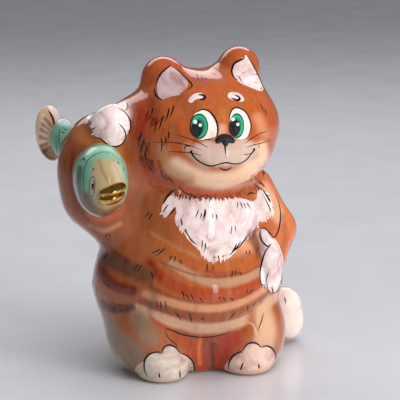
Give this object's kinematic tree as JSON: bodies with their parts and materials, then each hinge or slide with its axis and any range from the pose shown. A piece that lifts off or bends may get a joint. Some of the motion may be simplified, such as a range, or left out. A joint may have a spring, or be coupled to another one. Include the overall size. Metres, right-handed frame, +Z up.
{
  "type": "souvenir figurine",
  "caption": "Glazed slip-cast ceramic cat, seated upright on a flat base, raised arm curled over a fish and the other paw resting on its belly.",
  "frame": {"origin": "middle of the flat base, on the surface that the figurine stands on", "axes": "+Z up; the cat faces -Y; the cat's own left side is +X"},
  "size_m": [0.1162, 0.076, 0.1359],
  "materials": {
    "ginger_glaze": "high gloss clear glaze over hand-painted rust and cream washes",
    "white_glaze": "high gloss clear glaze over white with a faint pink wash",
    "mint_glaze": "high gloss clear glaze over mint green and cream washes",
    "sand_glaze": "high gloss clear glaze over a sand wash",
    "gold_lustre": "polished overglaze gold lustre",
    "black_glaze": "high gloss black"
  },
  "bodies": {
    "root": {"body_shell": "ginger_glaze", "head_shell": "ginger_glaze", "ear_left": "ginger_glaze", "ear_right": "ginger_glaze", "raised_arm": "ginger_glaze", "raised_paw": "white_glaze", "resting_arm": "ginger_glaze", "resting_paw": "white_glaze", "foot_left": "white_glaze", "foot_right": "white_glaze", "tail": "white_glaze", "fish_body": "mint_glaze", "fish_tail_fin": "sand_glaze", "fish_lips": "gold_lustre", "nose": "black_glaze"}
  },
  "joints": []
}
